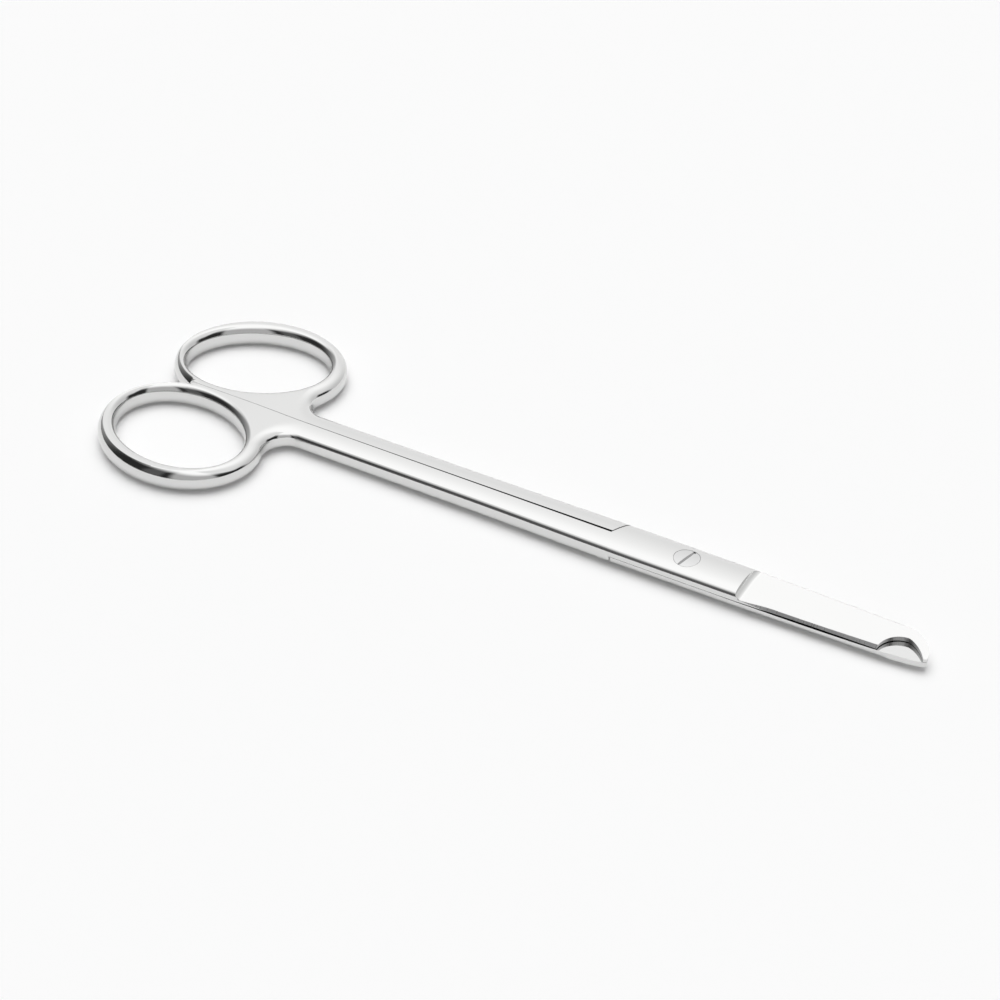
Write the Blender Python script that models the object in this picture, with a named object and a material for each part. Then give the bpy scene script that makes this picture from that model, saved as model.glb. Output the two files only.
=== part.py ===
"""Stitch scissors with a hooked upper blade, closed and lying flat.

Sizes are in millimetres, and mesh_object() scales them to metres.
+X runs from the pivot to the tip, +Z is up, and the pivot axis is the Z axis.
The two halves are one forging, turned over: the lower half is the upper one
turned half a turn about X at mid thickness. Each is forged, then ground.
"""

import math

import bmesh
import bpy
import numpy as np
from mathutils import Matrix, Vector

MM = 0.001

# Overall sizes
PIVOT_TO_TIP = 36.8
PIVOT_TO_RING_BACK = 93.7
STOCK_THICKNESS = 3.3
RING_HEIGHT = 3.7

# Finger rings: an oval outline that the seam cuts off flat, and an oval hole with more tilt.
# The walls are those of the whole oval. The section is round on the outer side, cut flat above
# and below, and squarer on the hole's side
RING_LONG = 27.7
RING_WIDE = 22.3
RING_TILT = math.radians(11.5)
RING_OVERLAP = 0.8
HOLE_TILT = math.radians(15.4)
RING_WALL_BACK = 2.0
RING_WALL_FRONT = 2.65
RING_WALL_OUTSIDE = 2.9
RING_WALL_MIDDLE = 2.7
RING_EDGE_DEPTH = 1.7
RING_CROWN_POWER = 2.0
RING_OVERSHOOT = 1.12
HOLE_EDGE_DEPTH = 1.3
HOLE_CROWN_POWER = 2.8

# Web and shanks
CROTCH_FILLET = 3.5
WEB_LENGTH = 12.0
WAIST_HALF_WIDTH = 3.28
WAIST_END = -35.0
SEAM_GAP_AT_RINGS = 0.04
SEAM_GAP_AT_LAP = 0.4
SHANK_CROWN_POWER = 4.2

# Lap joint
LAP_HALF_WIDTH = 3.5
LAP_WIDEST = -9.0
SHOULDER_AT_SEAM = -11.9
SHOULDER_LEAN = 1.4
SHOULDER_CLEARANCE = 0.2
LAP_CLEARANCE = 0.06

# Blades, bowed apart between the pivot and the tip
HEEL = 9.0
HEEL_HALF_WIDTH = 3.4
TAPER_END = 30.0
TAPER_END_HALF_WIDTH = 2.9
BLADE_BOW = 0.13
BOW_START = 5.0
SPINE_THICKNESS = 0.95
EDGE_THICKNESS = 0.4
HEEL_CURVE = 0.6
HEEL_FILLET = 1.0
HEEL_SPREAD = 4.0
EDGE_INSET = 0.05
EDGE_RUN_IN = 5.0
TIP_ROUNDING = 5.8
TIP_ROUNDING_POWER = 2.0
TIP_NEAR_LENGTH = 12.0
TIP_NEAR_DEPTH = 0.9
BLADE_END_SPARE = 0.5

# Hook that lifts the stitch, cut in the upper blade only
NOTCH_LENGTH = 6.65
NOTCH_BACK_SHARE = 0.48
NOTCH_DEPTH = 3.5
NOTCH_FRONT_POWER = 1.4
HOOK_POINT_WIDTH = 0.15

# Pivot screw: slotted head, smooth shoulder and threaded end
HEAD_RADIUS = 1.88
HEAD_HEIGHT = 0.85
HEAD_SUNK = 0.02
PIVOT_RADIUS = 1.3
THREAD_RADIUS = 1.15
SCREW_CLEARANCE = 0.05
SCREW_CHAMFER = 0.15
SLOT_WIDTH = 0.42
SLOT_DEPTH = 0.32
SLOT_ANGLE = math.radians(77.0)

# Mesh density
SECTION_STEPS = 5
WEB_STEPS = 3
RING_RAYS = 48
SEAM_RAYS = 6
FILLET_STATIONS = 6
SHANK_STATIONS = 24
LAP_STATIONS = 18
SCREW_SIDES = 32
CURVE_STEPS = 14
MEASURING_STEPS = 200

# How far a cutter stands out of what it cuts
CUTTER_REACH = 2.0

MID = STOCK_THICKNESS / 2
UPWARDS = Vector((0.0, 1.0))
FORWARDS = Vector((1.0, 0.0))


def smoothstep(low, high, value):
    share = np.clip((value - low) / (high - low), 0.0, 1.0)
    return share * share * (3.0 - 2.0 * share)


def half_width(x):
    """Half the width of the closed shanks, the lap and the blades at x."""
    lap = LAP_HALF_WIDTH + (HEEL_HALF_WIDTH - LAP_HALF_WIDTH) * smoothstep(LAP_WIDEST, HEEL, x)
    shank = WAIST_HALF_WIDTH + (LAP_HALF_WIDTH - WAIST_HALF_WIDTH) * smoothstep(WAIST_END, LAP_WIDEST, x)
    taper = (HEEL_HALF_WIDTH - TAPER_END_HALF_WIDTH) * np.maximum(0.0, x - HEEL) / (TAPER_END - HEEL)
    return np.where(x < LAP_WIDEST, shank, lap - taper)


def seam(x):
    """y of the near shank's inner face. The seam is tight at the rings and opens towards the lap."""
    share = (x + PIVOT_TO_RING_BACK) / (SHOULDER_AT_SEAM + PIVOT_TO_RING_BACK)
    return -0.5 * (SEAM_GAP_AT_RINGS + (SEAM_GAP_AT_LAP - SEAM_GAP_AT_RINGS) * share * share)


def crown(depth, power, overshoot=1.0):
    """Height of the forged surface, 0 to 1, at a depth of 0 (the rim) to 1 (the crown).

    An overshoot over 1 makes a higher arch that is cut flat at 1.
    """
    inner = 1.0 - np.clip(depth, 0.0, 1.0)
    return np.minimum(1.0, overshoot * (1.0 - inner * inner) ** (1.0 / power))


def section_depths(power, overshoot=1.0):
    """Depths of the lines that run along the forging, from the rim to where it is full height."""
    last = math.asin(1.0 / overshoot)
    heights = [math.sin(last * i / SECTION_STEPS) for i in range(SECTION_STEPS + 1)]
    return [1.0 - math.sqrt(max(0.0, 1.0 - height**power)) for height in heights]


def mating_height(x):
    """Height of the upper half's inner face over mid thickness."""
    share = np.clip((x - BOW_START) / (PIVOT_TO_TIP - BOW_START), 0.0, 1.0)
    return LAP_CLEARANCE / 2 + BLADE_BOW * np.sin(math.pi * share) ** 2


class Oval:
    """An ellipse in plan."""

    def __init__(self, centre, half_long, half_wide, tilt):
        self.centre = centre
        self.long_way = Vector((math.cos(tilt), math.sin(tilt)))
        self.wide_way = Vector((-math.sin(tilt), math.cos(tilt)))
        self.half_long = half_long
        self.half_wide = half_wide

    def point(self, angle):
        along = self.half_long * math.cos(angle) * self.long_way
        return self.centre + along + self.half_wide * math.sin(angle) * self.wide_way

    def farthest(self, way):
        """The point that lies farthest in a direction, and how far that is from the centre."""
        along = self.half_long**2 * self.long_way.dot(way)
        across = self.half_wide**2 * self.wide_way.dot(way)
        reach = math.sqrt(along * self.long_way.dot(way) + across * self.wide_way.dot(way))
        return self.centre + (along * self.long_way + across * self.wide_way) / reach, reach

    def hit(self, start, way):
        """Where a ray from a point inside leaves the oval."""
        offset = start - self.centre
        p = Vector((offset.dot(self.long_way) / self.half_long, offset.dot(self.wide_way) / self.half_wide))
        d = Vector((way.dot(self.long_way) / self.half_long, way.dot(self.wide_way) / self.half_wide))
        root = math.sqrt(p.dot(d) ** 2 - d.dot(d) * (p.dot(p) - 1.0))
        return start + way * ((root - p.dot(d)) / d.dot(d))


def distances(points, polyline):
    """Distance from each point to a polyline, both as arrays of x and y."""
    start = polyline[:-1]
    edge = polyline[1:] - start
    offset = points[:, None, :] - start[None, :, :]
    along = np.clip((offset * edge).sum(axis=2) / (edge**2).sum(axis=1), 0.0, 1.0)
    return np.sqrt(((offset - along[:, :, None] * edge) ** 2).sum(axis=2).min(axis=1))


def direction(angle):
    return Vector((math.cos(angle), math.sin(angle)))


def bearing(way):
    return math.atan2(way.y, way.x)


class Handle:
    """Plan of the near ring, web and shank, and the height of their forged surface."""

    def __init__(self):
        self.outline = Oval(Vector((0.0, 0.0)), RING_LONG / 2, RING_WIDE / 2, -RING_TILT)
        centre_x = self.outline.farthest(FORWARDS)[1] - PIVOT_TO_RING_BACK
        centre_y = float(seam(centre_x)) - self.outline.farthest(UPWARDS)[1] + RING_OVERLAP
        self.outline.centre = Vector((centre_x, centre_y))
        shift = Vector((RING_WALL_BACK - RING_WALL_FRONT, RING_WALL_OUTSIDE - RING_WALL_MIDDLE)) / 2
        half_long = (RING_LONG - RING_WALL_BACK - RING_WALL_FRONT) / 2
        half_wide = (RING_WIDE - RING_WALL_OUTSIDE - RING_WALL_MIDDLE) / 2
        shift = shift.x * self.outline.long_way + shift.y * self.outline.wide_way
        self.hole = Oval(self.outline.centre + shift, half_long, half_wide, -HOLE_TILT)
        on_seam = Vector((centre_x, seam(centre_x)))
        along_seam = Vector((centre_x - 1.0, seam(centre_x - 1.0))) - on_seam
        self.seam_start = self.outline.hit(on_seam, along_seam)
        self.fillet_centre, self.crotch = self.crotch_fillet()
        self.web_back = self.fillet_centre.x - WEB_LENGTH
        self.rim = self.rim_line()
        turns = np.linspace(0.0, 2.0 * math.pi, MEASURING_STEPS + 1)
        self.hole_rim = np.array([self.hole.point(turn)[:] for turn in turns])

    def crotch_fillet(self):
        """The fillet's centre beside the shank, and where it touches the ring's outline."""
        row = -WAIST_HALF_WIDTH - CROTCH_FILLET
        turns = np.linspace(0.0, 2.0 * math.pi, 4 * MEASURING_STEPS + 1)
        outline = [self.outline.point(turn) for turn in turns]
        near = self.outline.hit(Vector((self.outline.centre.x, row)), FORWARDS).x
        far = near + 2.0 * CROTCH_FILLET
        for _ in range(40):
            centre = Vector((0.5 * (near + far), row))
            touch = min(outline, key=lambda point: (point - centre).length)
            if (touch - centre).length < CROTCH_FILLET:
                near = centre.x
            else:
                far = centre.x
        return centre, touch

    def ring_angles(self, count):
        """Angles about the hole's centre, from the crotch round the back to the seam."""
        first = bearing(self.crotch - self.hole.centre)
        last = bearing(self.seam_start - self.hole.centre) - 2.0 * math.pi
        return [first + (last - first) * i / count for i in range(count + 1)]

    def outer_side(self, stations):
        """The outline from the crotch, round the fillet and along the shank to the shoulder."""
        first = bearing(self.crotch - self.fillet_centre) % (2.0 * math.pi)
        turns = [first + (0.5 * math.pi - first) * i / FILLET_STATIONS for i in range(FILLET_STATIONS + 1)]
        points = [self.fillet_centre + CROTCH_FILLET * direction(turn) for turn in turns]
        straight = stations - FILLET_STATIONS
        shoulder = SHOULDER_AT_SEAM + SHOULDER_LEAN
        for i in range(1, straight + 1):
            x = self.fillet_centre.x + (shoulder - self.fillet_centre.x) * i / straight
            points.append(Vector((x, -float(half_width(x)))))
        return points

    def rim_line(self):
        """The rounded rim as a polyline for measuring: the whole outline but the seam."""
        turns = self.ring_angles(MEASURING_STEPS)
        ring = [self.outline.hit(self.hole.centre, direction(turn)) for turn in turns]
        side = self.outer_side(MEASURING_STEPS // 2)
        lap = [Vector((x, -float(half_width(x)))) for x in np.linspace(side[-1].x, 0.0, 12)[1:]]
        return np.array([point[:] for point in ring[:0:-1] + side + lap])

    def heights(self, points):
        """Height of the forged surface over mid thickness at plan points."""
        places = np.array([point[:] for point in points])
        to_rim = distances(places, self.rim)
        to_hole = distances(places, self.hole_rim)
        x = places[:, 0]
        share = smoothstep(self.web_back, self.fillet_centre.x, x)
        ring_depth = np.maximum(1e-6, np.minimum(RING_EDGE_DEPTH, to_rim + to_hole))
        rim_depth = ring_depth + (half_width(x) + seam(x) - ring_depth) * share
        power = RING_CROWN_POWER + (SHANK_CROWN_POWER - RING_CROWN_POWER) * share
        overshoot = RING_OVERSHOOT + (1.0 - RING_OVERSHOOT) * share
        full = 0.5 * (RING_HEIGHT + (STOCK_THICKNESS - RING_HEIGHT) * share)
        hole_depth = np.maximum(1e-6, np.minimum(HOLE_EDGE_DEPTH, to_rim + to_hole))
        outside = crown(to_rim / rim_depth, power, overshoot)
        return full * outside * crown(to_hole / hole_depth, HOLE_CROWN_POWER)


class Skin:
    """Collects the vertices and faces of one closed surface."""

    def __init__(self):
        self.mesh = bmesh.new()

    def add(self, x, y, z):
        return self.mesh.verts.new((x, y, z))

    def face(self, *corners):
        kept = list(dict.fromkeys(corners))
        if len(kept) > 2:
            self.mesh.faces.new(kept)

    def strip(self, row, other):
        for i in range(len(row) - 1):
            self.face(row[i], row[i + 1], other[i + 1], other[i])

    def sheet(self, rows):
        for row, other in zip(rows, rows[1:]):
            self.strip(row, other)

    def pair_of_sheets(self, rows, handle, on_rim):
        """Adds rows of plan points twice, above and below mid thickness; a rim point is shared."""
        flat = [point for row in rows for point in row]
        heights = iter(handle.heights(flat))
        tops = []
        bottoms = []
        for row, rims in zip(rows, on_rim):
            top = []
            bottom = []
            for point, rim in zip(row, rims):
                height = next(heights)
                above = self.add(point.x, point.y, MID + (0.0 if rim else height))
                top.append(above)
                bottom.append(above if rim else self.add(point.x, point.y, MID - height))
            tops.append(top)
            bottoms.append(bottom)
        return tops, bottoms


def forged_half():
    """One half as forged: ring, web, shank, shoulder and lap, and a blade still square at its end."""
    handle = Handle()
    skin = Skin()
    centre = handle.hole.centre
    rim_depths = section_depths(RING_CROWN_POWER, RING_OVERSHOOT)
    hole_depths = section_depths(HOLE_CROWN_POWER)
    lap_depths = section_depths(SHANK_CROWN_POWER)

    # Where the rays of the ring end: on its outline, then on the seam, then on a line across the web
    round_back = [handle.outline.hit(centre, direction(turn)) for turn in handle.ring_angles(RING_RAYS)]
    seam_steps = np.linspace(handle.seam_start.x, handle.crotch.x, SEAM_RAYS + 1)[1:]
    beside_seam = [Vector((x, seam(x))) for x in seam_steps]
    across_web = [beside_seam[-1].lerp(handle.crotch, 1.0 - depth) for depth in lap_depths[-2:0:-1]]
    ends = round_back + beside_seam + across_web

    rows = []
    on_rim = []
    for i, end in enumerate(ends):
        inner = handle.hole.hit(centre, (end - centre).normalized())
        hole_scale = min(0.48 / hole_depths[-1], HOLE_EDGE_DEPTH / (end - inner).length)
        rim_scale = min(0.48 / rim_depths[-1], RING_EDGE_DEPTH / (end - inner).length)
        near_hole = [hole_scale * depth for depth in hole_depths]
        near_rim = [1.0 - rim_scale * depth for depth in rim_depths[::-1]]
        at_rim = i < len(round_back)
        shares = near_hole + list(np.linspace(near_hole[-1], near_rim[0], WEB_STEPS + 1)[1:-1]) + near_rim
        rows.append([inner.lerp(end, share) for share in shares])
        on_rim.append([j == 0 or (at_rim and j == len(shares) - 1) for j in range(len(shares))])
    tops, bottoms = skin.pair_of_sheets(rows, handle, on_rim)
    skin.sheet(tops + tops[:1])
    skin.sheet(bottoms + bottoms[:1])
    at_seam = range(len(round_back) - 1, len(round_back) + SEAM_RAYS)
    skin.strip([tops[i][-1] for i in at_seam], [bottoms[i][-1] for i in at_seam])

    # Shank: rows from the seam to the outer side, between the line across the web and the shoulder
    web_row = [i % len(ends) for i in range(at_seam[-1], len(ends) + 1)]
    first = [ends[i] for i in web_row]
    shares = [(point - first[0]).length / (first[-1] - first[0]).length for point in first]
    inner_x = np.linspace(first[0].x, SHOULDER_AT_SEAM, SHANK_STATIONS + 1)[1:]
    outer = handle.outer_side(SHANK_STATIONS)[1:]
    rows = [[Vector((x, seam(x))).lerp(side, share) for share in shares] for x, side in zip(inner_x, outer)]
    on_rim = [[share == 1.0 for share in shares] for _ in rows]
    more_tops, more_bottoms = skin.pair_of_sheets(rows, handle, on_rim)
    shank_top = [[tops[i][-1] for i in web_row]] + more_tops
    shank_bottom = [[bottoms[i][-1] for i in web_row]] + more_bottoms
    skin.sheet(shank_top)
    skin.sheet(shank_bottom)
    seam_top = [row[0] for row in shank_top]
    seam_bottom = [row[0] for row in shank_bottom]
    skin.strip(seam_top[:-1], seam_bottom[:-1])

    # Lap and blade: only the upper half of the section, over the full width
    shoulder_top = shank_top[-1][::-1]
    shoulder_bottom = shank_bottom[-1][::-1]
    shoulder_top[0].co.z = MID + mating_height(shoulder_top[0].co.x)
    lows = [[shoulder_top[0]]]
    for vertex in shoulder_top[1:]:
        lows[0].append(skin.add(vertex.co.x, vertex.co.y, MID + mating_height(vertex.co.x)))
    tops = [list(shoulder_top)]
    corner = tops[0][-1].co.copy()
    for depth in lap_depths[-2::-1]:
        x = corner.x + (SHOULDER_LEAN + SHOULDER_CLEARANCE) * (1.0 - depth)
        y = corner.y + (half_width(x) - corner.y) * (1.0 - depth)
        low = skin.add(x, y, MID + mating_height(x))
        lows[0].append(low)
        tops[0].append(low if depth == 0.0 else skin.add(x, y, MID + MID * crown(depth, SHANK_CROWN_POWER)))
    shares = [depth - 1.0 for depth in lap_depths] + [1.0 - depth for depth in lap_depths[-2::-1]]
    start_x = corner.x + 2.0 * SHOULDER_LEAN
    for x in np.linspace(start_x, PIVOT_TO_TIP + BLADE_END_SPARE, LAP_STATIONS):
        width = half_width(x)
        low = [skin.add(x, share * width, MID + mating_height(x)) for share in shares]
        rises = [MID * crown(1.0 - abs(share), SHANK_CROWN_POWER) for share in shares]
        top = [skin.add(x, share * width, MID + rise) for share, rise in zip(shares[1:-1], rises[1:-1])]
        lows.append(low)
        tops.append([low[0]] + top + [low[-1]])
    skin.sheet(tops)
    skin.sheet(lows)
    skin.strip(tops[-1], lows[-1])

    # Shoulder walls: under the lap on the near side, over it on the far side. They meet at the seam
    count = len(shoulder_top)
    skin.strip(lows[0][:count], shoulder_bottom)
    skin.strip(tops[0][count - 1 :], lows[0][count - 1 :])
    skin.face(seam_top[-2], seam_top[-1], lows[0][count - 1], seam_bottom[-1], seam_bottom[-2])
    return skin.mesh


def prism(outline, low, high):
    """A straight-sided cutter from a closed plan outline."""
    skin = Skin()
    bottom = [skin.add(x, y, low) for x, y in outline]
    top = [skin.add(x, y, high) for x, y in outline]
    skin.face(*bottom)
    skin.face(*top)
    skin.strip(bottom + bottom[:1], top + top[:1])
    return skin.mesh


def loft(sections):
    """A cutter through closed sections of equal point counts, capped at both ends."""
    skin = Skin()
    rings = [[skin.add(*point) for point in section] for section in sections]
    skin.sheet([ring + ring[:1] for ring in rings])
    skin.face(*rings[0])
    skin.face(*rings[-1])
    return skin.mesh


def face_grind():
    """Clears the metal over the blade's ground face, and leaves a hollow ramp at the heel.

    The ramp is short on the near side, and its radius grows towards the spine.
    """
    reach = LAP_HALF_WIDTH + CUTTER_REACH
    above = STOCK_THICKNESS + CUTTER_REACH
    beyond = PIVOT_TO_TIP + CUTTER_REACH
    sections = []
    for y in np.linspace(-reach, reach, 2 * CURVE_STEPS + 1):
        share = (y + HEEL_HALF_WIDTH) / (2.0 * HEEL_HALF_WIDTH)
        face = MID + LAP_CLEARANCE / 2 + EDGE_THICKNESS + (SPINE_THICKNESS - EDGE_THICKNESS) * share
        to_spine = max(0.0, y) / HEEL_HALF_WIDTH
        ramp = HEEL + HEEL_CURVE * to_spine**2
        radius = HEEL_FILLET + HEEL_SPREAD * to_spine
        rise = STOCK_THICKNESS - face + HEEL_FILLET
        first = math.asin(max(0.0, 1.0 - rise / radius))
        section = [(ramp + radius * (1.0 - math.cos(first)), y, above)]
        for turn in np.linspace(first, 0.5 * math.pi, CURVE_STEPS // 2):
            x = ramp + radius * (1.0 - math.cos(turn))
            section.append((x, y, face + radius * (1.0 - math.sin(turn))))
        section += [(beyond, y, face), (beyond, y, above)]
        sections.append(section)
    return loft(sections)


def edge_bevel():
    """Grinds the cutting edge at 45 degrees, running in from nothing beyond the heel."""
    sections = []
    start = HEEL + HEEL_FILLET / 2
    for x in np.linspace(start, PIVOT_TO_TIP + CUTTER_REACH, CURVE_STEPS + 1):
        run_in = EDGE_THICKNESS * (1.0 - smoothstep(start, start + EDGE_RUN_IN, x))
        edge_y = -half_width(x) + EDGE_INSET - run_in
        edge_z = MID + mating_height(x)
        rise = SPINE_THICKNESS + EDGE_THICKNESS
        outside = edge_y - rise
        sections.append(
            [
                (x, edge_y - EDGE_THICKNESS, edge_z - EDGE_THICKNESS),
                (x, edge_y + rise, edge_z + rise),
                (x, outside, edge_z + rise),
                (x, outside, edge_z - EDGE_THICKNESS),
            ]
        )
    return loft(sections)


def superellipse(centre, half_x, half_y, power, turns):
    """Points of a quarter of a superellipse, at angles from 0 (along X) to a right angle."""
    points = []
    for turn in turns:
        x = abs(math.cos(turn)) ** (2.0 / power) * half_x
        y = abs(math.sin(turn)) ** (2.0 / power) * half_y
        points.append((centre[0] + x, centre[1] + y))
    return points


def near_edge(x):
    """y of the near outline of both blades."""
    return float(-half_width(x)) + EDGE_INSET


def tip_cut():
    """Rounds both closed blades together: a quarter oval from the spine, then a long slight one."""
    quarter = np.linspace(0.0, 0.5 * math.pi, CURVE_STEPS + 1)
    start_x = PIVOT_TO_TIP - TIP_ROUNDING
    end_y = float(-half_width(PIVOT_TO_TIP)) - EDGE_INSET + TIP_NEAR_DEPTH
    height = float(half_width(start_x)) - end_y
    outline = superellipse((start_x, end_y), TIP_ROUNDING, height, TIP_ROUNDING_POWER, quarter[::-1])
    for turn in quarter[1:]:
        x = PIVOT_TO_TIP - TIP_NEAR_LENGTH * (1.0 - math.cos(turn))
        y = float(-half_width(x)) - EDGE_INSET + TIP_NEAR_DEPTH * (1.0 - math.sin(turn))
        outline.append((x, y))
    low_y = outline[-1][1] - CUTTER_REACH
    high_y = outline[0][1] + CUTTER_REACH
    outline += [(outline[-1][0], low_y), (PIVOT_TO_TIP + CUTTER_REACH, low_y)]
    outline += [(PIVOT_TO_TIP + CUTTER_REACH, high_y), (start_x, high_y)]
    return prism(outline, -CUTTER_REACH, STOCK_THICKNESS + CUTTER_REACH)


def notch_cut():
    """The hook's hollow: a quarter oval at the back, a flatter run to the hook's point in front."""
    point_x = PIVOT_TO_TIP - HOOK_POINT_WIDTH
    back_x = point_x - NOTCH_LENGTH
    deepest_x = back_x + NOTCH_BACK_SHARE * NOTCH_LENGTH
    low_y = near_edge(back_x)
    quarter = np.linspace(0.0, 0.5 * math.pi, CURVE_STEPS + 1)
    back = superellipse((0.0, 0.0), deepest_x - back_x, NOTCH_DEPTH, 2.0, quarter)
    front = superellipse((0.0, 0.0), point_x - deepest_x, NOTCH_DEPTH, NOTCH_FRONT_POWER, quarter[::-1])
    outline = [(deepest_x - x, low_y + y) for x, y in back]
    outline += [(deepest_x + x, low_y + y) for x, y in front[1:]]
    outline += [(point_x, low_y - CUTTER_REACH), (back_x, low_y - CUTTER_REACH)]
    return prism(outline, MID - CUTTER_REACH, STOCK_THICKNESS + CUTTER_REACH)


def turned(profile):
    """A solid of revolution about Z from (radius, z) pairs, first and last on the axis."""
    skin = Skin()
    rings = []
    for radius, z in profile:
        if radius == 0.0:
            rings.append([skin.add(0.0, 0.0, z)] * (SCREW_SIDES + 1))
            continue
        ring = []
        for i in range(SCREW_SIDES):
            way = direction(2.0 * math.pi * i / SCREW_SIDES)
            ring.append(skin.add(radius * way.x, radius * way.y, z))
        rings.append(ring + ring[:1])
    skin.sheet(rings)
    return skin.mesh


def bore(radius, low, high):
    return turned([(0.0, low), (radius, low), (radius, high), (0.0, high)])


def head_seat():
    return STOCK_THICKNESS - HEAD_HEIGHT


def screw_blank():
    """The screw before its slot is cut. Its head follows the crown of the lap round it."""
    shoulder = MID - LAP_CLEARANCE / 2 + SCREW_CLEARANCE
    profile = [
        (0.0, 0.0),
        (THREAD_RADIUS - SCREW_CHAMFER, 0.0),
        (THREAD_RADIUS, SCREW_CHAMFER),
        (THREAD_RADIUS, shoulder),
        (PIVOT_RADIUS, shoulder),
        (PIVOT_RADIUS, head_seat() + SCREW_CLEARANCE),
        (HEAD_RADIUS, head_seat() + SCREW_CLEARANCE),
    ]
    top_rings = [(HEAD_RADIUS * share, STOCK_THICKNESS) for share in (1.0, 0.67, 0.33, 0.0)]
    mesh = turned(profile + top_rings)
    for vertex in mesh.verts:
        if vertex.co.z > STOCK_THICKNESS - HEAD_SUNK / 2:
            depth = 1.0 - abs(vertex.co.y) / half_width(vertex.co.x)
            vertex.co.z = MID + MID * crown(depth, SHANK_CROWN_POWER) - HEAD_SUNK
    return mesh


def slot_cut():
    along = (HEAD_RADIUS + CUTTER_REACH) * direction(SLOT_ANGLE)
    across = SLOT_WIDTH / 2 * direction(SLOT_ANGLE + 0.5 * math.pi)
    corners = [along + across, across - along, -along - across, along - across]
    outline = [corner[:] for corner in corners]
    return prism(outline, STOCK_THICKNESS - SLOT_DEPTH, STOCK_THICKNESS + CUTTER_REACH)


def mesh_object(name, mesh):
    """Makes an object of a mesh drawn in millimetres, with its origin on the pivot axis."""
    bmesh.ops.remove_doubles(mesh, verts=mesh.verts, dist=1e-5)
    bmesh.ops.recalc_face_normals(mesh, faces=mesh.faces)
    bmesh.ops.scale(mesh, vec=(MM, MM, MM), verts=mesh.verts)
    data = bpy.data.meshes.new(name)
    mesh.to_mesh(data)
    mesh.free()
    made = bpy.data.objects.new(name, data)
    bpy.context.scene.collection.objects.link(made)
    return made


def steel(name, colour, roughness):
    material = bpy.data.materials.new(name)
    material.use_nodes = True
    shader = material.node_tree.nodes["Principled BSDF"]
    shader.inputs["Base Color"].default_value = (*colour, 1.0)
    shader.inputs["Metallic"].default_value = 1.0
    shader.inputs["Roughness"].default_value = roughness
    return material


def finish(piece, material):
    piece.data.materials.append(material)
    piece.data.shade_smooth()
    piece.data.set_sharp_from_angle(angle=math.radians(30.0))


def cut(piece, name, mesh, placing):
    """Cuts a piece with a Boolean. The cutter is hidden, and placed as the piece is."""
    cutter = mesh_object(name, mesh)
    cutter.matrix_world = placing
    cutter.hide_render = True
    cutter.display_type = "WIRE"
    boolean = piece.modifiers.new(name, "BOOLEAN")
    boolean.operation = "DIFFERENCE"
    boolean.solver = "EXACT"
    boolean.object = cutter


for old in list(bpy.data.objects):
    bpy.data.objects.remove(old, do_unlink=True)

AS_DRAWN = Matrix.Identity(4)
TURNED_OVER = Matrix.Translation((0.0, 0.0, STOCK_THICKNESS * MM)) @ Matrix.Rotation(math.pi, 4, "X")
POLISHED = ((0.66, 0.66, 0.66), 0.08)
TURNED_FINISH = ((0.6, 0.6, 0.6), 0.15)

upper_half = mesh_object("upper_half", forged_half())
lower_half = mesh_object("lower_half", forged_half())
lower_half.matrix_world = TURNED_OVER
finish(upper_half, steel("upper_steel", *POLISHED))
finish(lower_half, steel("lower_steel", *POLISHED))
for half, placing in ((upper_half, AS_DRAWN), (lower_half, TURNED_OVER)):
    cut(half, half.name + "_face_grind", face_grind(), placing)
    cut(half, half.name + "_edge_bevel", edge_bevel(), placing)
    cut(half, half.name + "_tip", tip_cut(), AS_DRAWN)

cut(upper_half, "hook_notch", notch_cut(), AS_DRAWN)
seat_radius = HEAD_RADIUS + SCREW_CLEARANCE
cut(upper_half, "head_seat", bore(seat_radius, head_seat(), STOCK_THICKNESS + CUTTER_REACH), AS_DRAWN)
cut(upper_half, "pivot_hole", bore(PIVOT_RADIUS + SCREW_CLEARANCE, 0.0, STOCK_THICKNESS), AS_DRAWN)
threaded_hole = bore(THREAD_RADIUS + SCREW_CLEARANCE, -CUTTER_REACH, STOCK_THICKNESS)
cut(lower_half, "threaded_hole", threaded_hole, AS_DRAWN)

pivot_screw = mesh_object("pivot_screw", screw_blank())
finish(pivot_screw, steel("screw_steel", *TURNED_FINISH))
cut(pivot_screw, "driver_slot", slot_cut(), AS_DRAWN)
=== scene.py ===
# %% [markdown]
# # Suture scissors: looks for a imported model
#
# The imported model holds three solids: two forged halves and the screw that joins
# them. They have the right sizes, but their faces are coarse, and polished steel
# shows every facet. This script makes each piece again with a fine mesh, from the
# same rules, then gives it its finish, its light and the camera of the photograph.

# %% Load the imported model
import math

import bmesh
import bpy
import numpy as np
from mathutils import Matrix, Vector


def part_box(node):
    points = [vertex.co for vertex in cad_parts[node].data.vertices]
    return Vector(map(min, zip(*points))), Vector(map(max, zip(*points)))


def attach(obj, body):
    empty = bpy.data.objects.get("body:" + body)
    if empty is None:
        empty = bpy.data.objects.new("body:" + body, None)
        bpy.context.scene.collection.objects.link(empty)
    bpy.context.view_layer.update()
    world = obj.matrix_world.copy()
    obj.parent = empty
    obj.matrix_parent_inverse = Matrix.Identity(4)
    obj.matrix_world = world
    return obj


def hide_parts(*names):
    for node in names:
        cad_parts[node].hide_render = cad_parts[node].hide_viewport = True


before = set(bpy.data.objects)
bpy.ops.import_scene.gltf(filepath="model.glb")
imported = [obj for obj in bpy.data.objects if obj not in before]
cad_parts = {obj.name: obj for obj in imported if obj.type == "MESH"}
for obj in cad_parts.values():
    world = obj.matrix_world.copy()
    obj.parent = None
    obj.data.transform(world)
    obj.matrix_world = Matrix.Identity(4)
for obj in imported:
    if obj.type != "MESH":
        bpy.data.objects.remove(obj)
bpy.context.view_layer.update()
MM = 0.001
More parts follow.
